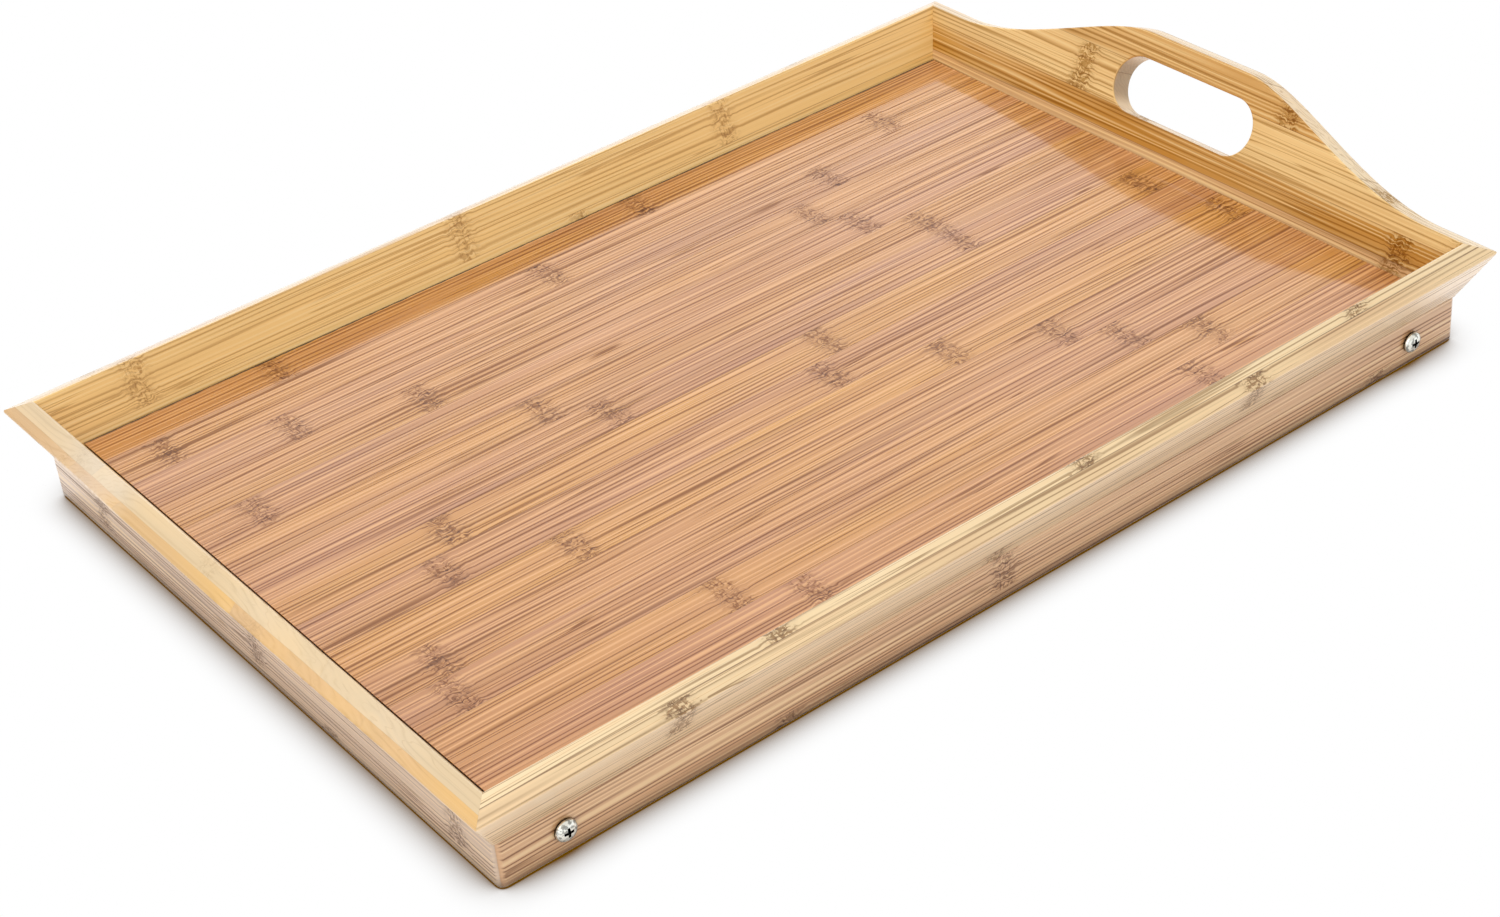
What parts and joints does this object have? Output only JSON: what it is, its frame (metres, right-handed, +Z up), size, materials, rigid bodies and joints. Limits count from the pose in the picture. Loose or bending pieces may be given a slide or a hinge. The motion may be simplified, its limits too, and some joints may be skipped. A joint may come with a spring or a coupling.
{
  "type": "bed tray",
  "caption": "Bamboo serving tray with a flared mitred rim, S-topped handle boards with hand slots, and folding leg frames under the panel.",
  "frame": {"origin": "on the floor under the middle of the tray, with the legs folded flat", "axes": "+X along the length of the tray towards one handle board, +Y across it towards the rear rail, +Z up out of the tray"},
  "size_m": [0.4992, 0.3244, 0.0671],
  "materials": {
    "bamboo_panel": "clear satin lacquer over laminated strips",
    "bamboo_rim": "clear satin lacquer, glue line along the top edge",
    "bamboo_apron": "clear satin lacquer",
    "bamboo_legs": "clear satin lacquer",
    "zinc_plated_steel": "bright zinc plate"
  },
  "bodies": {
    "tray": {"tray_panel": "bamboo_panel", "front_rail": "bamboo_rim", "rear_rail": "bamboo_rim", "left_handle_board": "bamboo_rim", "right_handle_board": "bamboo_rim", "front_apron": "bamboo_apron", "rear_apron": "bamboo_apron", "left_apron": "bamboo_apron", "right_apron": "bamboo_apron", "front_left_screw": "zinc_plated_steel", "front_right_screw": "zinc_plated_steel", "rear_left_screw": "zinc_plated_steel", "rear_right_screw": "zinc_plated_steel", "front_left_washer": "zinc_plated_steel", "front_right_washer": "zinc_plated_steel", "rear_left_washer": "zinc_plated_steel", "rear_right_washer": "zinc_plated_steel", "front_left_nut": "zinc_plated_steel", "front_right_nut": "zinc_plated_steel", "rear_left_nut": "zinc_plated_steel", "rear_right_nut": "zinc_plated_steel"},
    "left_legs": {"front_left_leg": "bamboo_legs", "rear_left_leg": "bamboo_legs", "left_stretcher": "bamboo_legs"},
    "right_legs": {"front_right_leg": "bamboo_legs", "rear_right_leg": "bamboo_legs", "right_stretcher": "bamboo_legs"}
  },
  "joints": [
    {"name": "left_legs_fold", "type": "hinge", "parent": "tray", "child": "left_legs", "pos_m": [-0.20029, 0, 0.0107], "axis": [0, 1, 0], "range_deg": [0, 100]},
    {"name": "right_legs_fold", "type": "hinge", "parent": "tray", "child": "right_legs", "pos_m": [0.20029, 0, 0.0107], "axis": [0, -1, 0], "range_deg": [0, 100]}
  ]
}
